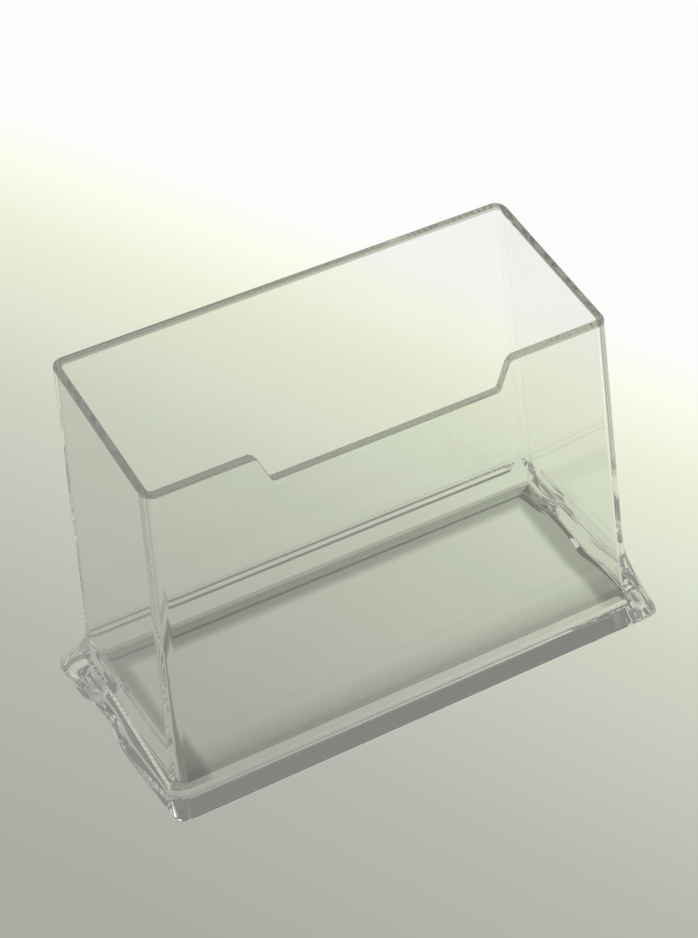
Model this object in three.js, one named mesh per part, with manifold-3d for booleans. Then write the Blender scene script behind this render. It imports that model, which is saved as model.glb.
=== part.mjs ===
// Clear acrylic card stand: an open pocket that leans back on a flared skirt, made of bonded panels.
// Millimetres. +X runs along a card's width, +Y points to the back, +Z is up and the front faces -Y.
// The origin is on the table, under the centre of the whole stand.
import * as THREE from "three";
import { mergeVertices } from "three/addons/utils/BufferGeometryUtils.js";
import Module from "manifold-3d";

const wasm = await Module();
wasm.setup();

// Pocket
const rimWidth = 96; // outside, along the back rim
const rimDepth = 36; // outside, front to back
const backHeight = 68.7; // back rim above the table
const frontHeight = 62.7; // front rim above the table
const frontLean = THREE.MathUtils.degToRad(10.1); // front wall off vertical, top to the back
const backLean = THREE.MathUtils.degToRad(9.7); // back wall off vertical, top to the back
const sideSpread = THREE.MathUtils.degToRad(2.2); // side walls off vertical, wider at the foot
const wallThickness = 1.6;
const cornerRadius = 2.4; // upright corners, outside, in plan

// Finger notch in the front rim
const notchWidth = 52.8; // at the rim
const notchFloorWidth = 47.6;
const notchDepth = 5.4;
const notchRounding = 0.8; // length that each corner's curve takes from its edges

// Skirt: its outer face flares out to broad feet, and its inner face stays straight
const skirtHeight = 15.5; // where the flare leaves the straight wall
const frontFlare = 5.5; // how far the front foot stands out from the wall's own line
const backFlare = 8.6;
const sideFlare = 2.9;
const flareFoot = new THREE.Vector2(0.9, 0.25); // its lower handle: share of flare, share of skirt height
const flareNeck = 0.45; // flare's upper handle, on the wall's line, as a share of the skirt height

// Arch under each side, between the front foot and the back foot
const archHeight = 2.2;
const archFrontReach = 20; // from the front foot's outer edge to the arch's front end
const archPeakReach = 30; // to its highest point
const archBackReach = 41; // to its back end

// Floor plate, which slopes down to the front
const floorFrontHeight = 2; // top face above the table, at the front wall
const floorBackHeight = 7.2; // at the back wall
const floorThickness = 1.4;
const floorClearance = 0.25; // cement gap round its edge
const hollowFlare = 3.8; // how far the hollow under the floor widens into the back foot

// Fineness of the curves
const flareSteps = 9;
const cornerSteps = 5;
const roundingSteps = 4;
const archSteps = 9;

const cutMargin = 2; // how far a cutting solid passes the faces it cuts

// The flare's heights, from the table up to the straight wall, with its reach at each one.
const flareCurve = new THREE.CubicBezierCurve(
  new THREE.Vector2(1, 0),
  new THREE.Vector2(flareFoot.x, flareFoot.y * skirtHeight),
  new THREE.Vector2(0, flareNeck * skirtHeight),
  new THREE.Vector2(0, skirtHeight),
);
const flareLevels = Array.from({ length: flareSteps + 1 }, (_, step) => {
  const point = flareCurve.getPoint(step / flareSteps);
  return { height: point.y, reach: point.x };
});

// The flare's reach at any height: 1 at the table and 0 on the straight wall.
function flareAt(height) {
  if (height >= skirtHeight) return 0;
  const upper = flareLevels.findIndex((level) => level.height > height);
  const low = flareLevels[upper - 1];
  const high = flareLevels[upper];
  return THREE.MathUtils.mapLinear(height, low.height, high.height, low.reach, high.reach);
}

// Walls at a height. outward is 1 on the outer face, which takes the whole flare, and 0 on the inner face.
// The front wall's own line meets the table at y = 0.
const backRimY = frontHeight * Math.tan(frontLean) + rimDepth;
const sideX = (height, outward = 1) =>
  rimWidth / 2 + (backHeight - height) * Math.tan(sideSpread) + outward * sideFlare * flareAt(height);
const frontY = (height, outward = 1) =>
  height * Math.tan(frontLean) - outward * frontFlare * flareAt(height);
const backY = (height, outward = 1) =>
  backRimY - (backHeight - height) * Math.tan(backLean) + outward * backFlare * flareAt(height);

// The hollow's back face leans out from the floor plate's underside to the table.
const hollowAt = (height) => hollowFlare * Math.max(1 - height / (floorBackHeight - floorThickness), 0);

// Sections are drawn on the plan of the rim, with the front face at y = 0. Their corner centres:
const centreX = rimWidth / 2 - cornerRadius;
const centreFrontY = cornerRadius;
const centreBackY = rimDepth - cornerRadius;

// Carries a point of a section to its place at a height.
// Its depth behind the outer face sets its share of the flare.
function place(x, y, height) {
  const aside = Math.max(Math.abs(x) - centreX, 0);
  const ahead = Math.min(y - centreFrontY, 0) + Math.max(y - centreBackY, 0);
  const radius = Math.hypot(aside, ahead);
  const outward = Math.max(1 - (cornerRadius - radius) / wallThickness, 0);
  const hollow = ahead > 0 ? (1 - outward) * hollowAt(height) * (ahead / radius) : 0;
  const outX = sideX(height, outward) - cornerRadius;
  const outFrontY = frontY(height, outward) + cornerRadius;
  const outBackY = backY(height, outward) - cornerRadius;
  const along = THREE.MathUtils.clamp((y - centreFrontY) / (centreBackY - centreFrontY), 0, 1);
  return [
    Math.sign(x) * ((outX * Math.min(Math.abs(x), centreX)) / centreX + aside),
    THREE.MathUtils.lerp(outFrontY, outBackY, along) + ahead + hollow,
  ];
}

// Raises a section to a wall.
// heightOf gives a point's height from its step up the wall and its place in the plan.
function wallFrom(section, steps, heightOf) {
  const wall = new THREE.ExtrudeGeometry(section, {
    depth: 1,
    steps,
    bevelEnabled: false,
    curveSegments: cornerSteps,
  });
  const points = wall.getAttribute("position");
  for (let i = 0; i < points.count; i++) {
    const height = heightOf(points.getZ(i), points.getY(i));
    points.setXYZ(i, ...place(points.getX(i), points.getY(i), height), height);
  }
  return wall;
}

// The rim falls from the back to the front in one straight line.
const rimHeight = (y) => THREE.MathUtils.lerp(frontHeight, backHeight, y / rimDepth);

// A rounded rectangle in plan, set in from the outer face.
function roundedOutline(inset) {
  const radius = cornerRadius - inset;
  const outline = new THREE.Shape();
  outline.absarc(centreX, centreFrontY, radius, -Math.PI / 2, 0);
  outline.absarc(centreX, centreBackY, radius, 0, Math.PI / 2);
  outline.absarc(-centreX, centreBackY, radius, Math.PI / 2, Math.PI);
  outline.absarc(-centreX, centreFrontY, radius, Math.PI, 1.5 * Math.PI);
  return outline;
}

// The walls run all round the pocket, so they are raised whole and then cut into four at the joints.
const ringSection = roundedOutline(0);
ringSection.holes.push(roundedOutline(wallThickness));
const panelRing = wallFrom(ringSection, 1, (share, y) =>
  THREE.MathUtils.lerp(skirtHeight, rimHeight(y), share),
);
const skirtRing = wallFrom(
  ringSection,
  flareSteps,
  (share) => flareLevels[Math.round(share * flareSteps)].height,
);

function solidOf(geometry) {
  const bare = geometry.clone();
  bare.deleteAttribute("normal");
  bare.deleteAttribute("uv");
  const merged = mergeVertices(bare, 1e-4);
  return new wasm.Manifold(
    new wasm.Mesh({
      numProp: 3,
      vertProperties: new Float32Array(merged.getAttribute("position").array),
      triVerts: new Uint32Array(merged.index.array),
    }),
  );
}

function geometryOf(solid) {
  const mesh = solid.getMesh();
  const geometry = new THREE.BufferGeometry();
  geometry.setAttribute("position", new THREE.BufferAttribute(mesh.vertProperties, 3));
  geometry.setIndex(new THREE.BufferAttribute(mesh.triVerts, 1));
  geometry.computeVertexNormals();
  return geometry;
}

const cut = (geometry, cutter) => geometryOf(solidOf(geometry).subtract(solidOf(cutter)));
const keep = (geometry, zone) => geometryOf(solidOf(geometry).intersect(solidOf(zone)));

// A box that holds one wall. It ends at the joints, which stand where the rim's rounded corners start.
function zoneOf(fromX, toX, fromY, toY) {
  const height = backHeight + 2 * cutMargin;
  return new THREE.BoxGeometry(toX - fromX, toY - fromY, height).translate(
    (fromX + toX) / 2,
    (fromY + toY) / 2,
    height / 2 - cutMargin,
  );
}
const middleY = (frontY(0) + backRimY) / 2;
const nearY = frontY(0) - cutMargin;
const farY = Math.max(backY(0), backRimY) + cutMargin;
const outerX = sideX(0) + cutMargin;
const zones = {
  front: zoneOf(-centreX, centreX, nearY, middleY),
  back: zoneOf(-centreX, centreX, middleY, farY),
  left: zoneOf(-outerX, -centreX, nearY, farY),
  right: zoneOf(centreX, outerX, nearY, farY),
};

// The finger notch: a shallow opening with slanted ends and eased corners, cut through from the front.
function notchCutter() {
  const floorZ = frontHeight - notchDepth;
  const end = new THREE.Vector2((notchWidth - notchFloorWidth) / 2, notchDepth).setLength(notchRounding);
  const outline = new THREE.Shape();
  const corners = [-1, 1].map((side) => ({
    rim: new THREE.Vector2((side * notchWidth) / 2, frontHeight),
    floor: new THREE.Vector2((side * notchFloorWidth) / 2, floorZ),
    step: new THREE.Vector2(side * end.x, end.y),
    out: new THREE.Vector2(side * notchRounding, 0),
  }));
  const [left, right] = corners;
  const point = (base, shift) => base.clone().add(shift);
  const ease = (corner, to) => outline.quadraticCurveTo(corner.x, corner.y, to.x, to.y);
  const above = new THREE.Vector2(0, cutMargin);
  const start = point(left.rim, left.out);
  const finish = point(right.rim, right.out);
  outline.moveTo(...point(start, above));
  outline.lineTo(...start);
  ease(left.rim, point(left.rim, left.step.clone().negate()));
  outline.lineTo(...point(left.floor, left.step));
  ease(left.floor, point(left.floor, left.out.clone().negate()));
  outline.lineTo(...point(right.floor, right.out.clone().negate()));
  ease(right.floor, point(right.floor, right.step));
  outline.lineTo(...point(right.rim, right.step.clone().negate()));
  ease(right.rim, finish);
  outline.lineTo(...point(finish, above));
  const cutter = new THREE.ExtrudeGeometry(outline, {
    depth: middleY - nearY,
    bevelEnabled: false,
    curveSegments: roundingSteps,
  });
  return cutter.rotateX(Math.PI / 2).translate(0, middleY, 0);
}

// The arch that leaves a front and a back foot under a side: gentle at the back and steeper at the front.
function archCutter() {
  const front = frontY(0) + archFrontReach;
  const peak = frontY(0) + archPeakReach;
  const back = frontY(0) + archBackReach;
  const frontHalf = (front + peak) / 2;
  const backHalf = (peak + back) / 2;
  const outline = new THREE.Shape();
  outline.moveTo(front, -cutMargin);
  outline.lineTo(back, -cutMargin);
  outline.lineTo(back, 0);
  outline.bezierCurveTo(backHalf, 0, backHalf, archHeight, peak, archHeight);
  outline.bezierCurveTo(frontHalf, archHeight, frontHalf, 0, front, 0);
  const cutter = new THREE.ExtrudeGeometry(outline, {
    depth: 2 * outerX,
    bevelEnabled: false,
    curveSegments: archSteps,
  });
  const turn = new THREE.Matrix4().makeBasis(
    new THREE.Vector3(0, 1, 0),
    new THREE.Vector3(0, 0, 1),
    new THREE.Vector3(1, 0, 0),
  );
  return cutter.applyMatrix4(turn).translate(-outerX, 0, 0);
}

// The frame's origin is under the centre of the stand, between its foremost and its rearmost reach.
const stand = new THREE.Group();
stand.position.y = -(frontY(0) + Math.max(backY(0), backRimY)) / 2;

function addPiece(name, geometry) {
  const acrylic = new THREE.MeshStandardMaterial({
    color: 0xdfe2dc,
    roughness: 0.06,
    metalness: 0,
    transparent: true,
    opacity: 0.35,
  });
  const piece = new THREE.Mesh(geometry, acrylic);
  piece.name = name;
  stand.add(piece);
}

addPiece("front_panel", cut(keep(panelRing, zones.front), notchCutter()));
addPiece("back_panel", keep(panelRing, zones.back));
addPiece("front_skirt", keep(skirtRing, zones.front));
addPiece("back_skirt", keep(skirtRing, zones.back));
for (const side of ["left", "right"]) {
  addPiece(`${side}_side_panel`, keep(panelRing, zones[side]));
  addPiece(`${side}_skirt`, cut(keep(skirtRing, zones[side]), archCutter()));
}
addPiece(
  "floor_plate",
  wallFrom(roundedOutline(wallThickness + floorClearance), 1, (share, y) => {
    const along = (y - wallThickness) / (rimDepth - 2 * wallThickness);
    return THREE.MathUtils.lerp(floorFrontHeight, floorBackHeight, along) - floorThickness * (1 - share);
  }),
);

export default stand;
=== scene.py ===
"""Clear acrylic card stand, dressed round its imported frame. Metres, +Z up, the front faces -Y."""

import math

import bpy
import numpy as np
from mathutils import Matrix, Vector


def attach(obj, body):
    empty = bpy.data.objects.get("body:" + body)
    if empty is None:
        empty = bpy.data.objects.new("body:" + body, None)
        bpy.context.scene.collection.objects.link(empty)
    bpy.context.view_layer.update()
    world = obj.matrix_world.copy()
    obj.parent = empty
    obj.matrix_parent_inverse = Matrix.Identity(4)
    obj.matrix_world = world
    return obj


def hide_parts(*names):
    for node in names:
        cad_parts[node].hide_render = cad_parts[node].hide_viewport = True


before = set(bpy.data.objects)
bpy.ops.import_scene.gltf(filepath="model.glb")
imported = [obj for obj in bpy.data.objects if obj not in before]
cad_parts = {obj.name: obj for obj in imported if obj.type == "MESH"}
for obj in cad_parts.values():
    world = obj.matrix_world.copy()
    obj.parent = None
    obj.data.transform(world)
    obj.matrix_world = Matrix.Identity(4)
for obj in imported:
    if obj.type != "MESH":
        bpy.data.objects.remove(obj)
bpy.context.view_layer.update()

MM = 0.001

# Pocket
RIM_WIDTH = 96 * MM
RIM_DEPTH = 36 * MM
BACK_HEIGHT = 68.7 * MM
FRONT_HEIGHT = 62.7 * MM
FRONT_LEAN = math.radians(10.1)
BACK_LEAN = math.radians(9.7)
SIDE_SPREAD = math.radians(2.2)
WALL = 1.6 * MM
CORNER_RADIUS = 2.4 * MM

# Finger notch
NOTCH_WIDTH = 52.8 * MM
NOTCH_FLOOR_WIDTH = 47.6 * MM
NOTCH_DEPTH = 5.4 * MM
NOTCH_ROUNDING = 0.8 * MM

# Skirt
SKIRT_HEIGHT = 15.5 * MM
FRONT_FLARE = 5.5 * MM
BACK_FLARE = 8.6 * MM
SIDE_FLARE = 2.9 * MM
FLARE_FOOT = (0.9, 0.25)
FLARE_NECK = 0.45

# Arch under each side
ARCH_HEIGHT = 2.2 * MM
ARCH_FRONT_REACH = 20 * MM
ARCH_PEAK_REACH = 30 * MM
ARCH_BACK_REACH = 41 * MM

# Floor plate, which slopes down to the front and meets the walls with no gap
FLOOR_FRONT_HEIGHT = 2 * MM
FLOOR_BACK_HEIGHT = 7.2 * MM
FLOOR_THICKNESS = 1.4 * MM
HOLLOW_FLARE = 3.8 * MM

# Softened edges
RIM_ROUNDING = 0.4 * MM
FOOT_ROUNDING = 0.3 * MM

# Fineness
CORNER_STEPS = 14
ROUNDING_STEPS = 4
SIDE_STEPS = 56
FLAT_STEPS = 12
PANEL_STEPS = 3
FOOT_STEPS = 9
FLOOR_STEPS = 1
FLARE_STEPS = 22
FLARE_SAMPLES = 400
ARCH_SAMPLES = 60
ARCH_HALVINGS = 40  # steps of the search for the arch's height on a leaning wall

# Material slots of every wall piece. The edge slot is tinted darker as painted shade, and the last slot
# carries a darker band of painted shade.
ACRYLIC, BOND, EDGE, PAINTED_SHADE_SLOT = 0, 1, 2, 3

CENTRE_X = RIM_WIDTH / 2 - CORNER_RADIUS
CENTRE_FRONT_Y = CORNER_RADIUS
CENTRE_BACK_Y = RIM_DEPTH - CORNER_RADIUS
BACK_RIM_Y = FRONT_HEIGHT * math.tan(FRONT_LEAN) + RIM_DEPTH


def bezier(points, count):
    """Points along a cubic Bezier curve."""
    share = np.linspace(0, 1, count)[:, None]
    a, b, c, d = (np.array(point, float) for point in points)
    back = 1 - share
    return back**3 * a + 3 * back**2 * share * b + 3 * back * share**2 * c + share**3 * d


def quadratic(start, handle, end, count):
    """Points along a quadratic Bezier curve."""
    share = np.linspace(0, 1, count)[:, None]
    start, handle, end = (np.array(point, float) for point in (start, handle, end))
    return (1 - share) ** 2 * start + 2 * (1 - share) * share * handle + share**2 * end


FLARE_CURVE = bezier(
    [
        (1, 0),
        (FLARE_FOOT[0], FLARE_FOOT[1] * SKIRT_HEIGHT),
        (0, FLARE_NECK * SKIRT_HEIGHT),
        (0, SKIRT_HEIGHT),
    ],
    FLARE_SAMPLES,
)


def reach_at(height):
    """How much of the flare is reached at a height: 1 at the table and 0 on the straight wall."""
    return np.interp(height, FLARE_CURVE[:, 1], FLARE_CURVE[:, 0])


# Walls at a height
# outward is 1 on the outer face, which takes the whole flare, and 0 on the inner face.
def side_x(height, outward=1):
    spread = (BACK_HEIGHT - height) * math.tan(SIDE_SPREAD)
    return RIM_WIDTH / 2 + spread + outward * SIDE_FLARE * reach_at(height)


def front_y(height, outward=1):
    return height * math.tan(FRONT_LEAN) - outward * FRONT_FLARE * reach_at(height)


def back_y(height, outward=1):
    lean = (BACK_HEIGHT - height) * math.tan(BACK_LEAN)
    return BACK_RIM_Y - lean + outward * BACK_FLARE * reach_at(height)


def hollow_at(height):
    """How far the hollow's back face leans out under the floor plate."""
    return HOLLOW_FLARE * max(1 - height / (FLOOR_BACK_HEIGHT - FLOOR_THICKNESS), 0)


ORIGIN_Y = float(front_y(0) + max(back_y(0), BACK_RIM_Y)) / 2


def place(column, depth, height):
    """The point of a wall at a column of the plan, at a depth behind the outer face and at a height."""
    base_x, base_y, aside, ahead = column
    outward = 1 - depth / WALL
    near = front_y(height, outward) + CORNER_RADIUS
    far = back_y(height, outward) - CORNER_RADIUS
    along = (base_y - CENTRE_FRONT_Y) / (CENTRE_BACK_Y - CENTRE_FRONT_Y)
    hollow = (1 - outward) * hollow_at(height) * max(ahead, 0)
    x = (side_x(height, outward) - CORNER_RADIUS) * base_x / CENTRE_X + (CORNER_RADIUS - depth) * aside
    y = near + (far - near) * along + (CORNER_RADIUS - depth) * ahead + hollow - ORIGIN_Y
    return np.array([x, y, height], float)


def notch_outline():
    """Right half of the front panel's top edge, from the notch's floor out to the rim, as (x, z) points."""
    floor = np.array([NOTCH_FLOOR_WIDTH / 2, FRONT_HEIGHT - NOTCH_DEPTH])
    rim = np.array([NOTCH_WIDTH / 2, FRONT_HEIGHT])
    step = (rim - floor) / np.linalg.norm(rim - floor) * NOTCH_ROUNDING
    out = np.array([NOTCH_ROUNDING, 0])
    lower = quadratic(floor - out, floor, floor + step, ROUNDING_STEPS * 2 + 1)
    upper = quadratic(rim - step, rim, rim + out, ROUNDING_STEPS * 2 + 1)
    return np.concatenate([lower, upper])


def front_columns():
    """Columns of the front panel and skirt from left to right, each with the height of its top edge.
    Outside the notch the height is None, and the rim's own slanted height holds."""
    edge = notch_outline()
    scale = CENTRE_X / (side_x(edge[:, 1]) - CORNER_RADIUS)
    half = [(x, z) for x, z in zip(edge[:, 0] * scale, edge[:, 1])]
    flat_ends = np.linspace(half[-1][0], CENTRE_X, FLAT_STEPS)[1:]
    half += [(x, FRONT_HEIGHT) for x in flat_ends]
    middle = np.linspace(-half[0][0], half[0][0], FLAT_STEPS)[1:-1]
    mirrored = [(-x, z) for x, z in reversed(half)]
    outline = mirrored + [(x, half[0][1]) for x in middle] + half
    columns = [(x, CENTRE_FRONT_Y, 0.0, -1.0) for x, _ in outline]
    return columns, [None if z >= FRONT_HEIGHT else z for _, z in outline]


def side_columns(side):
    """Columns of a side wall with both its corners, in the order that keeps its outer face on the right."""
    columns = []
    for angle in np.linspace(-math.pi / 2, 0, CORNER_STEPS + 1):
        columns.append((CENTRE_X, CENTRE_FRONT_Y, math.cos(angle), math.sin(angle)))
    for y in np.linspace(CENTRE_FRONT_Y, CENTRE_BACK_Y, SIDE_STEPS + 1)[1:-1]:
        columns.append((CENTRE_X, y, 1.0, 0.0))
    for angle in np.linspace(0, math.pi / 2, CORNER_STEPS + 1):
        columns.append((CENTRE_X, CENTRE_BACK_Y, math.cos(angle), math.sin(angle)))
    if side < 0:
        columns = [(-x, y, -aside, ahead) for x, y, aside, ahead in reversed(columns)]
    return columns


def back_columns():
    return [(x, CENTRE_BACK_Y, 0.0, 1.0) for x in np.linspace(CENTRE_X, -CENTRE_X, FLAT_STEPS * 2)]


def rim_height(column, depth):
    """The rim falls from the back to the front in one straight line."""
    plan_y = column[1] + (CORNER_RADIUS - depth) * column[3]
    return FRONT_HEIGHT + (BACK_HEIGHT - FRONT_HEIGHT) * plan_y / RIM_DEPTH


ARCH = np.concatenate(
    [
        bezier(
            [
                (ARCH_FRONT_REACH, 0),
                ((ARCH_FRONT_REACH + ARCH_PEAK_REACH) / 2, 0),
                ((ARCH_FRONT_REACH + ARCH_PEAK_REACH) / 2, ARCH_HEIGHT),
                (ARCH_PEAK_REACH, ARCH_HEIGHT),
            ],
            ARCH_SAMPLES,
        ),
        bezier(
            [
                (ARCH_PEAK_REACH, ARCH_HEIGHT),
                ((ARCH_PEAK_REACH + ARCH_BACK_REACH) / 2, ARCH_HEIGHT),
                ((ARCH_PEAK_REACH + ARCH_BACK_REACH) / 2, 0),
                (ARCH_BACK_REACH, 0),
            ],
            ARCH_SAMPLES,
        )[1:],
    ]
)


def foot_height(column, depth):
    """Height of the lower edge: 0 on the feet, and on the arch's curve under a side."""
    if abs(column[2]) < 1:
        return 0.0
    front_foot = float(front_y(0)) - ORIGIN_Y
    low, high = 0.0, ARCH_HEIGHT
    for _ in range(ARCH_HALVINGS):
        middle = (low + high) / 2
        reach = place(column, depth, middle)[1] - front_foot
        if np.interp(reach, ARCH[:, 0], ARCH[:, 1], 0, 0) > middle:
            low = middle
        else:
            high = middle
    return low


def floor_level(column):
    """Height of the floor plate's top face where it meets a column of the walls."""
    plan_y = column[1] + (CORNER_RADIUS - WALL) * column[3]
    along = (plan_y - WALL) / (RIM_DEPTH - 2 * WALL)
    return FLOOR_FRONT_HEIGHT + (FLOOR_BACK_HEIGHT - FLOOR_FRONT_HEIGHT) * along


def wall_ring(column, top):
    """Closed loop of a column's points: up the outer face, over the rim, down the inner face, under the foot.
    top is the height of the column's top edge, or None for the rim's own height."""
    turn = np.linspace(0, math.pi / 2, ROUNDING_STEPS + 1)

    def top_at(depth):
        return rim_height(column, depth) if top is None else top

    def heights(depth):
        foot = foot_height(column, depth)
        rim = top_at(depth)
        floor = floor_level(column)
        underside = floor - FLOOR_THICKNESS
        stretches = [
            (foot + FOOT_ROUNDING, underside, FOOT_STEPS),
            (underside, floor, FLOOR_STEPS),
            (floor, SKIRT_HEIGHT, FLARE_STEPS),
            (SKIRT_HEIGHT, rim - RIM_ROUNDING, PANEL_STEPS),
        ]
        levels = [np.linspace(low, high, steps + 1)[:-1] for low, high, steps in stretches]
        return np.concatenate(levels + [[rim - RIM_ROUNDING]])

    outer = [place(column, 0, height) for height in heights(0)]
    inner = [place(column, WALL, height) for height in heights(WALL)][::-1]
    over = []
    for angle in turn[1:]:
        depth = RIM_ROUNDING * (1 - math.cos(angle))
        over.append((depth, top_at(depth) - RIM_ROUNDING * (1 - math.sin(angle))))
    for angle in turn[::-1][:-1]:
        depth = WALL - RIM_ROUNDING * (1 - math.cos(angle))
        over.append((depth, top_at(depth) - RIM_ROUNDING * (1 - math.sin(angle))))
    under = []
    for angle in turn[1:]:
        depth = WALL - FOOT_ROUNDING * (1 - math.cos(angle))
        under.append((depth, foot_height(column, depth) + FOOT_ROUNDING * (1 - math.sin(angle))))
    for angle in turn[::-1][:-1]:
        depth = FOOT_ROUNDING * (1 - math.cos(angle))
        under.append((depth, foot_height(column, depth) + FOOT_ROUNDING * (1 - math.sin(angle))))
    rounded_rim = [place(column, depth, height) for depth, height in over]
    rounded_foot = [place(column, depth, height) for depth, height in under]
    return np.array(outer + rounded_rim + inner + rounded_foot)


FACE_POINTS = FOOT_STEPS + FLOOR_STEPS + FLARE_STEPS + PANEL_STEPS + 1
SKIRT_TOP = FOOT_STEPS + FLOOR_STEPS + FLARE_STEPS
EDGE_POINTS = ROUNDING_STEPS * 2
INNER_START = FACE_POINTS + EDGE_POINTS
RING_POINTS = 2 * (FACE_POINTS + EDGE_POINTS)


def inner_index(level):
    """Index in a ring of the inner face's point at a level counted from the foot."""
    return INNER_START + FACE_POINTS - 1 - level


def ring_normals(rings):
    """Smooth outward normals of a closed run of rings."""
    up = np.roll(rings, -1, axis=1) - np.roll(rings, 1, axis=1)
    along = np.roll(rings, -1, axis=0) - np.roll(rings, 1, axis=0)
    normals = np.cross(along, up)
    return normals / np.linalg.norm(normals, axis=2, keepdims=True)


def mesh_object(name, points, faces, slots, normals):
    """A piece from its points, faces, a slot for each face and a normal for each corner."""
    mesh = bpy.data.meshes.new(name)
    mesh.from_pydata([tuple(point) for point in points], [], faces)
    for material in wall_materials:
        mesh.materials.append(material)
    mesh.polygons.foreach_set("material_index", slots)
    mesh.polygons.foreach_set("use_smooth", [True] * len(faces))
    mesh.update()
    mesh.normals_split_custom_set([tuple(normal) for normal in normals])
    piece = bpy.data.objects.new(name, mesh)
    bpy.context.scene.collection.objects.link(piece)
    return piece


def flat_normal(points, face):
    """Area-weighted normal of a face that may be slightly bent."""
    corners = points[list(face)]
    total = np.cross(corners, np.roll(corners, -1, axis=0)).sum(axis=0)
    return total / max(np.linalg.norm(total), 1e-12)


def wall_piece(name, rings, normals, lower, upper, with_painted_shade=False):
    """One bonded piece: the stretch of each ring from level lower to level upper, with its joint faces.
    lower is 0 for a skirt, which has the rounded foot. upper is the last level for a panel, with its rim.
    The last argument gives the inner face over the floor plate a darker band of painted shade."""
    outer = list(range(lower, upper + 1))
    inner = [inner_index(level) for level in range(upper, lower - 1, -1)]
    over = list(range(FACE_POINTS, FACE_POINTS + EDGE_POINTS)) if upper == FACE_POINTS - 1 else []
    under = list(range(INNER_START + FACE_POINTS, RING_POINTS)) if lower == 0 else []
    loop = outer + over + inner + under
    count, size = len(rings), len(loop)
    points = rings[:, loop].reshape(-1, 3)
    smooth = normals[:, loop].reshape(-1, 3)
    faces, slots, corners = [], [], []
    open_top, open_foot = not over, not under
    first_inner = len(outer) + len(over)

    def inner_steps(levels):
        """Steps of the loop that run down the inner face at these levels."""
        return {loop.index(inner_index(level + 1)) for level in levels if lower <= level < upper}

    bonded_steps = inner_steps(range(FOOT_STEPS, FOOT_STEPS + FLOOR_STEPS))
    # Painted shade: the inner face over the floor plate takes a darker band.
    painted_shade_steps = inner_steps(range(FOOT_STEPS + FLOOR_STEPS, SKIRT_TOP)) if with_painted_shade else set()

    def add(face, slot, shaded):
        faces.append(face)
        slots.append(slot)
        if shaded:
            corners.extend(smooth[index] for index in face)
        else:
            corners.extend([flat_normal(points, face)] * len(face))

    for column in range(count - 1):
        for step in range(size):
            following = (step + 1) % size
            across_joint = (open_top and step == len(outer) - 1) or (open_foot and step == size - 1)
            slot = BOND if across_joint or step in bonded_steps else ACRYLIC
            # The rounded rim takes the edge material, tinted darker as painted shade.
            if over and len(outer) - 1 <= step < first_inner:
                slot = EDGE
            if step in painted_shade_steps:
                slot = PAINTED_SHADE_SLOT
            a, b = column * size, (column + 1) * size
            add((a + step, b + step, b + following, a + following), slot, not across_joint)
    for start, flip in ((0, False), ((count - 1) * size, True)):
        for level in range(len(outer) - 1):
            low_in = start + first_inner + len(outer) - 1 - level
            face = (start + level, start + level + 1, low_in - 1, low_in)
            add(face[::-1] if flip else face, BOND, False)
        if over:
            face = tuple(start + index for index in range(len(outer) - 1, first_inner + 1))
            add(face[::-1] if flip else face, BOND, False)
        if under:
            tail = [start + index for index in range(first_inner + len(inner) - 1, size)] + [start]
            add(tuple(tail[::-1]) if flip else tuple(tail), BOND, False)
    return mesh_object(name, points, faces, slots, corners)


def math_node(tree, operation, *values):
    """Output of a new Math node of the tree. Each value is a number or a socket."""
    node = tree.nodes.new("ShaderNodeMath")
    node.operation = operation
    for socket, value in zip(node.inputs, values):
        if isinstance(value, float):
            socket.default_value = value
        else:
            tree.links.new(value, socket)
    return node.outputs[0]


def colour_ramp(tree, stops):
    """A new Color Ramp node of the tree. Each stop is a place along the ramp with its colour."""
    ramp = tree.nodes.new("ShaderNodeValToRGB")
    while len(ramp.color_ramp.elements) < len(stops):
        ramp.color_ramp.elements.new(0.5)
    for element, (stop, colour) in zip(ramp.color_ramp.elements, stops):
        element.position = stop
        element.color = (*colour, 1)
    return ramp


BUMP_DEPTH = 0.1 * MM


def moulded_surface():
    """Shader node group for the faint unevenness of moulded acrylic."""
    group = bpy.data.node_groups.new("moulded_surface", "ShaderNodeTree")
    sockets = group.interface
    for name, kind, value in (
        ("Tint", "NodeSocketColor", (0.9, 0.9, 0.9, 1)),
        ("Tint Variation", "NodeSocketFloat", 0.02),
        ("Grain Size", "NodeSocketFloat", 0.012),
        ("Waviness", "NodeSocketFloat", 0.02),
    ):
        sockets.new_socket(name, in_out="INPUT", socket_type=kind).default_value = value
    sockets.new_socket("Color", in_out="OUTPUT", socket_type="NodeSocketColor")
    sockets.new_socket("Normal", in_out="OUTPUT", socket_type="NodeSocketVector")
    nodes, links = group.nodes, group.links
    given = nodes.new("NodeGroupInput")
    result = nodes.new("NodeGroupOutput")
    where = nodes.new("ShaderNodeTexCoord")
    noise = nodes.new("ShaderNodeTexNoise")
    noise.inputs["Detail"].default_value = 1.0
    per_grain = math_node(group, "DIVIDE", 1.0, given.outputs["Grain Size"])
    centred = math_node(group, "SUBTRACT", noise.outputs[0], 0.5)
    change = math_node(group, "MULTIPLY_ADD", centred, given.outputs["Tint Variation"], 1.0)
    tinted = nodes.new("ShaderNodeVectorMath")
    tinted.operation = "SCALE"
    bump = nodes.new("ShaderNodeBump")
    bump.inputs["Distance"].default_value = BUMP_DEPTH
    links.new(where.outputs["Object"], noise.inputs["Vector"])
    links.new(per_grain, noise.inputs["Scale"])
    links.new(given.outputs["Tint"], tinted.inputs[0])
    links.new(change, tinted.inputs["Scale"])
    links.new(noise.outputs[0], bump.inputs["Height"])
    links.new(given.outputs["Waviness"], bump.inputs["Strength"])
    links.new(tinted.outputs[0], result.inputs["Color"])
    links.new(bump.outputs[0], result.inputs["Normal"])
    return group


SURFACE = moulded_surface()
ACRYLIC_IOR = 1.49


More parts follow.
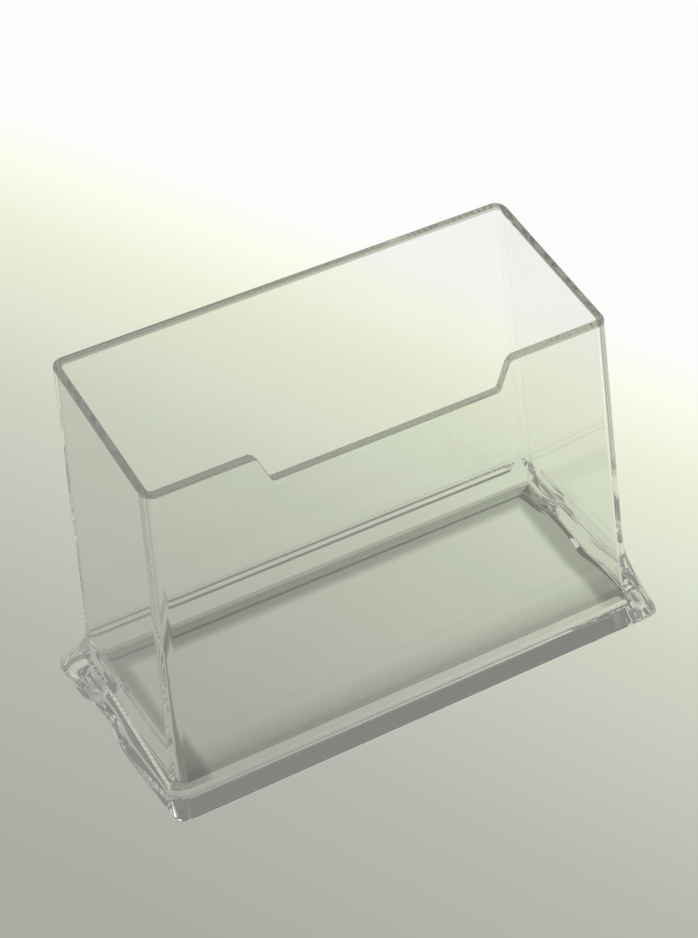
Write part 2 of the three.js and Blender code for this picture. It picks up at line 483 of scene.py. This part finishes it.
def clear_material(name, tint, roughness, waviness, shadow):
    """Clear acrylic. Light that only casts shadows passes straight through."""
    material = bpy.data.materials.new(name)
    material.use_nodes = True
    nodes, links = material.node_tree.nodes, material.node_tree.links
    nodes.clear()
    output = nodes.new("ShaderNodeOutputMaterial")
    surface = nodes.new("ShaderNodeGroup")
    surface.node_tree = SURFACE
    surface.inputs["Tint"].default_value = (*tint, 1)
    surface.inputs["Waviness"].default_value = waviness
    body = nodes.new("ShaderNodeBsdfPrincipled")
    body.inputs["Transmission Weight"].default_value = 1.0
    body.inputs["IOR"].default_value = ACRYLIC_IOR
    body.inputs["Roughness"].default_value = roughness
    clear = nodes.new("ShaderNodeBsdfTransparent")
    clear.inputs["Color"].default_value = (*shadow, 1)
    path = nodes.new("ShaderNodeLightPath")
    mix = nodes.new("ShaderNodeMixShader")
    links.new(surface.outputs["Color"], body.inputs["Base Color"])
    links.new(surface.outputs["Normal"], body.inputs["Normal"])
    links.new(path.outputs["Is Shadow Ray"], mix.inputs[0])
    links.new(body.outputs[0], mix.inputs[1])
    links.new(clear.outputs[0], mix.inputs[2])
    links.new(mix.outputs[0], output.inputs["Surface"])
    return material


def bond_material():
    """Cement that matches the acrylic, so that light passes a joint unbent."""
    material = bpy.data.materials.new("clear_cement")
    material.use_nodes = True
    nodes, links = material.node_tree.nodes, material.node_tree.links
    nodes.clear()
    output = nodes.new("ShaderNodeOutputMaterial")
    clear = nodes.new("ShaderNodeBsdfTransparent")
    links.new(clear.outputs[0], output.inputs["Surface"])
    return material


# Painted light on the table: tones from its dim corner to its bright one, brightening to the back and the
# right as if lit from there, as places along the ramp with their colours
TABLE_PAINTED_LIGHT_TONES = (
    (0.066, (0.41, 0.42, 0.37)),
    (0.274, (0.49, 0.50, 0.45)),
    (0.414, (0.59, 0.60, 0.52)),
    (0.510, (0.65, 0.68, 0.57)),
    (0.594, (0.75, 0.79, 0.65)),
    (0.686, (0.84, 0.88, 0.70)),
    (0.778, (0.98, 0.99, 0.85)),
    (0.850, (1.0, 1.0, 1.0)),
)
TABLE_TURN = math.radians(-27)
TABLE_SPAN = 0.25
TABLE_START = 0.4
TABLE_GLOW = 0.75  # share of the tone that is seen whatever the light
TABLE_GLOW_STRENGTH = 1.215


def table_material():
    """Pale table whose brightening to the back and the right is painted light. Part of its tone shows in any
    light, and the rest keeps the stand's shadow."""
    material = bpy.data.materials.new("pale_table")
    material.use_nodes = True
    tree = material.node_tree
    nodes, links = tree.nodes, tree.links
    body = nodes["Principled BSDF"]
    body.inputs["Roughness"].default_value = 0.6
    body.inputs["Specular IOR Level"].default_value = 0.2
    where = nodes.new("ShaderNodeTexCoord")
    turn = nodes.new("ShaderNodeMapping")
    turn.inputs["Rotation"].default_value = (0, 0, TABLE_TURN)
    turn.inputs["Scale"].default_value = (1 / TABLE_SPAN,) * 3
    turn.inputs["Location"].default_value = (TABLE_START, 0, 0)
    split = nodes.new("ShaderNodeSeparateXYZ")
    ramp = colour_ramp(tree, TABLE_PAINTED_LIGHT_TONES)
    glow = nodes.new("ShaderNodeEmission")
    glow.inputs["Strength"].default_value = TABLE_GLOW_STRENGTH
    path = nodes.new("ShaderNodeLightPath")
    seen = math_node(tree, "MAXIMUM", path.outputs["Is Camera Ray"], path.outputs["Is Glossy Ray"])
    seen_through = math_node(tree, "MAXIMUM", seen, path.outputs["Is Transmission Ray"])
    share = math_node(tree, "MULTIPLY", seen_through, TABLE_GLOW)
    mix = nodes.new("ShaderNodeMixShader")
    links.new(where.outputs["Object"], turn.inputs["Vector"])
    links.new(turn.outputs[0], split.inputs[0])
    links.new(split.outputs["X"], ramp.inputs[0])
    links.new(ramp.outputs[0], body.inputs["Base Color"])
    links.new(ramp.outputs[0], glow.inputs["Color"])
    links.new(share, mix.inputs[0])
    links.new(body.outputs[0], mix.inputs[1])
    links.new(glow.outputs[0], mix.inputs[2])
    links.new(mix.outputs[0], nodes["Material Output"].inputs["Surface"])
    return material


# Painted shade: darker bands that stand in for the light that solid feet turn away, on the floor beside the
# back and the sides, and low on the front wall's inner face. Each stop is a distance with the tone there.
FLOOR_PAINTED_SHADE = ((0.0, 0.62), (0.5 * MM, 0.54), (4.6 * MM, 0.58), (6.2 * MM, 1.0))
BACK_PAINTED_SHADE_SHARE = 0.9  # width of the band beside the back as a share of the band beside a side
FRONT_PAINTED_SHADE = ((1.5 * MM, 0.5), (6.5 * MM, 1.0))
PAINTED_SHADE_SPAN = 8 * MM
FLOOR_SLOPE = (FLOOR_BACK_HEIGHT - FLOOR_FRONT_HEIGHT) / (RIM_DEPTH - 2 * WALL)


def from_walls(tree, x, y, _z):
    """Distance on the floor plate to the nearest of the back and the sides."""
    back_limit = float(back_y(FLOOR_BACK_HEIGHT, 0)) - WALL - ORIGIN_Y
    side_limit = float(side_x((FLOOR_FRONT_HEIGHT + FLOOR_BACK_HEIGHT) / 2, 0)) - WALL
    from_back = math_node(tree, "DIVIDE", math_node(tree, "SUBTRACT", back_limit, y), BACK_PAINTED_SHADE_SHARE)
    from_side = math_node(tree, "SUBTRACT", side_limit, math_node(tree, "ABSOLUTE", x))
    return math_node(tree, "MINIMUM", from_back, from_side)


def above_floor(tree, _x, y, z):
    """Height over the sloping floor plate."""
    front_limit = float(front_y(FLOOR_FRONT_HEIGHT, 0)) + WALL - ORIGIN_Y
    rise = math_node(tree, "MULTIPLY", math_node(tree, "SUBTRACT", y, front_limit), FLOOR_SLOPE)
    return math_node(tree, "SUBTRACT", z, math_node(tree, "ADD", rise, FLOOR_FRONT_HEIGHT))


def painted_shade_material(name, measure, stops, tint, roughness, waviness, shadow):
    """Clear acrylic with a darker band of painted shade, by a measure of the place on the piece."""
    material = clear_material(name, tint, roughness, waviness, shadow)
    tree = material.node_tree
    nodes, links = tree.nodes, tree.links
    body = nodes["Principled BSDF"]
    surface = nodes["Group"]
    where = nodes.new("ShaderNodeTexCoord")
    split = nodes.new("ShaderNodeSeparateXYZ")
    links.new(where.outputs["Object"], split.inputs[0])
    distance = measure(tree, split.outputs["X"], split.outputs["Y"], split.outputs["Z"])
    ramp = colour_ramp(tree, [(stop / PAINTED_SHADE_SPAN, (tone, tone, tone)) for stop, tone in stops])
    links.new(math_node(tree, "DIVIDE", distance, PAINTED_SHADE_SPAN), ramp.inputs[0])
    toned = nodes.new("ShaderNodeVectorMath")
    toned.operation = "MULTIPLY"
    links.new(surface.outputs["Color"], toned.inputs[0])
    links.new(ramp.outputs[0], toned.inputs[1])
    links.new(toned.outputs[0], body.inputs["Base Color"])
    return material


CLEAR_LOOK = {
    "tint": (0.935, 0.945, 0.925),
    "roughness": 0.01,
    "waviness": 0.02,
    "shadow": (0.95, 0.955, 0.945),
}
# Painted shade: the rounded rims are tinted darker than the clear walls. Their higher roughness and waviness
# are the edge's own.
EDGE_LOOK = {
    "tint": (0.45, 0.46, 0.44),
    "roughness": 0.1,
    "waviness": 0.05,
    "shadow": (0.8, 0.81, 0.79),
}
acrylic = clear_material("clear_acrylic", **CLEAR_LOOK)
# Painted shade: darker bands low on the front skirt's inner face and on the floor plate beside the back and
# the sides.
front_painted_shade = painted_shade_material("clear_acrylic_front_painted_shade", above_floor, FRONT_PAINTED_SHADE, **CLEAR_LOOK)
floor_painted_shade = painted_shade_material("clear_acrylic_floor_painted_shade", from_walls, FLOOR_PAINTED_SHADE, **CLEAR_LOOK)
# Rim edges tinted darker as painted shade.
edge = clear_material("rim_edge_painted_shade", **EDGE_LOOK)
cement = bond_material()
wall_materials = [acrylic, cement, edge, front_painted_shade]

front, front_tops = front_columns()
right = side_columns(1)
back = back_columns()
left = side_columns(-1)
runs = {
    "front": (front, front_tops),
    "right": (right, [None] * len(right)),
    "back": (back, [None] * len(back)),
    "left": (left, [None] * len(left)),
}

all_rings, spans = [], {}
for run_name, (columns, tops) in runs.items():
    first = max(len(all_rings) - 1, 0)
    made = [wall_ring(column, top) for column, top in zip(columns, tops)]
    all_rings += made if not all_rings else made[1:]
    spans[run_name] = (first, len(all_rings))
closed = np.array(all_rings[:-1])
closed_normals = ring_normals(closed)
rings = np.concatenate([closed, closed[:1]])
normals = np.concatenate([closed_normals, closed_normals[:1]])

last_level = FACE_POINTS - 1
pieces = []
nodes_of_runs = {
    "front": ("front_panel", "front_skirt"),
    "right": ("right_side_panel", "right_skirt"),
    "back": ("back_panel", "back_skirt"),
    "left": ("left_side_panel", "left_skirt"),
}
for run_name, (panel, skirt) in nodes_of_runs.items():
    first, end = spans[run_name]
    for node, lower, upper in ((panel, SKIRT_TOP, last_level), (skirt, 0, SKIRT_TOP)):
        # The front skirt's inner face takes the darker band of painted shade.
        with_painted_shade = node == "front_skirt"
        piece = wall_piece(f"clear_{node}", rings[first:end], normals[first:end], lower, upper, with_painted_shade)
        pieces.append((piece, node))


WELD_DISTANCE = 0.0001 * MM


def plate_tree():
    """Geometry Nodes tree that thickens an outline down along the walls and bonds it all round its edge."""
    tree = bpy.data.node_groups.new("bonded_plate", "GeometryNodeTree")
    sockets = tree.interface
    sockets.new_socket("Geometry", in_out="INPUT", socket_type="NodeSocketGeometry")
    thickness = sockets.new_socket("Thickness", in_out="INPUT", socket_type="NodeSocketFloat")
    thickness.default_value = FLOOR_THICKNESS
    sockets.new_socket("Face Material", in_out="INPUT", socket_type="NodeSocketMaterial")
    sockets.new_socket("Edge Material", in_out="INPUT", socket_type="NodeSocketMaterial")
    sockets.new_socket("Geometry", in_out="OUTPUT", socket_type="NodeSocketGeometry")
    nodes, links = tree.nodes, tree.links
    given = nodes.new("NodeGroupInput")
    result = nodes.new("NodeGroupOutput")
    underside = nodes.new("GeometryNodeExtrudeMesh")
    underside.inputs["Offset Scale"].default_value = 0.0
    along_wall = nodes.new("GeometryNodeInputNamedAttribute")
    along_wall.data_type = "FLOAT_VECTOR"
    along_wall.inputs["Name"].default_value = "along_wall"
    drop = nodes.new("ShaderNodeVectorMath")
    drop.operation = "SCALE"
    moved = nodes.new("GeometryNodeSetPosition")
    upper = nodes.new("GeometryNodeFlipFaces")
    joined = nodes.new("GeometryNodeJoinGeometry")
    welded = nodes.new("GeometryNodeMergeByDistance")
    welded.inputs["Distance"].default_value = WELD_DISTANCE
    real = nodes.new("GeometryNodeRealizeInstances")
    face_material = nodes.new("GeometryNodeSetMaterial")
    edge_material = nodes.new("GeometryNodeSetMaterial")
    links.new(given.outputs["Geometry"], underside.inputs["Mesh"])
    links.new(along_wall.outputs[0], drop.inputs[0])
    links.new(given.outputs["Thickness"], drop.inputs["Scale"])
    links.new(underside.outputs["Mesh"], moved.inputs["Geometry"])
    links.new(underside.outputs["Top"], moved.inputs["Selection"])
    links.new(drop.outputs[0], moved.inputs["Offset"])
    links.new(given.outputs["Geometry"], upper.inputs[0])
    links.new(moved.outputs[0], joined.inputs[0])
    links.new(upper.outputs[0], joined.inputs[0])
    links.new(joined.outputs[0], welded.inputs["Geometry"])
    links.new(welded.outputs[0], real.inputs[0])
    links.new(real.outputs[0], face_material.inputs["Geometry"])
    links.new(given.outputs["Face Material"], face_material.inputs["Material"])
    links.new(face_material.outputs[0], edge_material.inputs["Geometry"])
    links.new(underside.outputs["Side"], edge_material.inputs["Selection"])
    links.new(given.outputs["Edge Material"], edge_material.inputs["Material"])
    links.new(edge_material.outputs[0], result.inputs["Geometry"])
    return tree


def floor_piece():
    """The floor plate, grown from the outline where its top face meets the walls."""
    upper = closed[:, inner_index(FOOT_STEPS + FLOOR_STEPS)]
    lower = closed[:, inner_index(FOOT_STEPS)]
    mesh = bpy.data.meshes.new("floor_outline")
    mesh.from_pydata([tuple(point) for point in upper], [], [tuple(range(len(upper)))[::-1]])
    run = mesh.attributes.new("along_wall", "FLOAT_VECTOR", "POINT")
    run.data.foreach_set("vector", ((lower - upper) / FLOOR_THICKNESS).ravel())
    mesh.update()
    piece = bpy.data.objects.new("clear_floor_plate", mesh)
    bpy.context.scene.collection.objects.link(piece)
    tree = plate_tree()
    growth = piece.modifiers.new("bonded_plate", "NODES")
    growth.node_group = tree
    values = {"Thickness": FLOOR_THICKNESS, "Face Material": floor_painted_shade, "Edge Material": cement}
    for item in tree.interface.items_tree:
        if item.in_out == "INPUT" and item.name in values:
            growth[item.identifier] = values[item.name]
    piece.update_tag()
    bpy.context.view_layer.update()
    grown = piece.evaluated_get(bpy.context.evaluated_depsgraph_get())
    plate = bpy.data.meshes.new_from_object(grown)
    plate.name = "clear_floor_plate"
    piece.modifiers.clear()
    piece.data = plate
    return piece


pieces.append((floor_piece(), "floor_plate"))

for piece, node in pieces:
    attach(piece, "root")
    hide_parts(node)

# Table
TABLE_DROP = 0.05 * MM
TABLE_REACH = 3.0
table_mesh = bpy.data.meshes.new("table")
corners = [(TABLE_REACH * x, TABLE_REACH * y) for x, y in ((-1, -1), (1, -1), (1, 1), (-1, 1))]
table_mesh.from_pydata([(x, y, -TABLE_DROP) for x, y in corners], [], [(0, 1, 2, 3)])
table_mesh.materials.append(table_material())
table = bpy.data.objects.new("table", table_mesh)
bpy.context.scene.collection.objects.link(table)

# Camera, level and at an angle to every wall
CAMERA_AZIMUTH = math.radians(-31.352)
CAMERA_ELEVATION = math.radians(40.344)
CAMERA_DISTANCE = 509.41 * MM
CAMERA_TARGET = Vector((3.986 * MM, 9.464 * MM, 32.904 * MM))
CAMERA_LENS = 103.667
CAMERA_SENSOR = 36
CAMERA_CLIP_START = 10 * MM

camera_data = bpy.data.cameras.new("camera")
camera_data.lens = CAMERA_LENS
camera_data.sensor_width = CAMERA_SENSOR
camera_data.clip_start = CAMERA_CLIP_START
camera = bpy.data.objects.new("camera", camera_data)
bpy.context.scene.collection.objects.link(camera)
away = Vector(
    (
        math.sin(CAMERA_AZIMUTH) * math.cos(CAMERA_ELEVATION),
        -math.cos(CAMERA_AZIMUTH) * math.cos(CAMERA_ELEVATION),
        math.sin(CAMERA_ELEVATION),
    )
)
camera.location = CAMERA_TARGET + away * CAMERA_DISTANCE
camera.rotation_mode = "QUATERNION"
camera.rotation_quaternion = (-away).to_track_quat("-Z", "Y")
bpy.context.scene.camera = camera

# Light: one soft lamp on the right, and an even room
LAMP_PLACE = Vector((0.95, -0.15, 0.75))
LAMP_AIM = Vector((0, 0, 20 * MM))
LAMP_SIZE = 0.5
LAMP_POWER = 0.8
ROOM_TONE = (0.245, 0.245, 0.237)

lamp_data = bpy.data.lights.new("key", "AREA")
lamp_data.shape = "DISK"
lamp_data.size = LAMP_SIZE
lamp_data.energy = LAMP_POWER
lamp = bpy.data.objects.new("key", lamp_data)
lamp.location = LAMP_PLACE
lamp.rotation_mode = "QUATERNION"
lamp.rotation_quaternion = (LAMP_AIM - LAMP_PLACE).to_track_quat("-Z", "Y")
bpy.context.scene.collection.objects.link(lamp)

world = bpy.data.worlds.new("room")
world.use_nodes = True
world.node_tree.nodes["Background"].inputs["Color"].default_value = (*ROOM_TONE, 1)
world.node_tree.nodes["Background"].inputs["Strength"].default_value = 1.0
bpy.context.scene.world = world

BOUNCES = 96  # enough for light that runs along inside a wall
scene = bpy.context.scene
scene.view_settings.view_transform = "Standard"
scene.cycles.max_bounces = BOUNCES
scene.cycles.transmission_bounces = BOUNCES
scene.cycles.glossy_bounces = BOUNCES
scene.cycles.transparent_max_bounces = BOUNCES
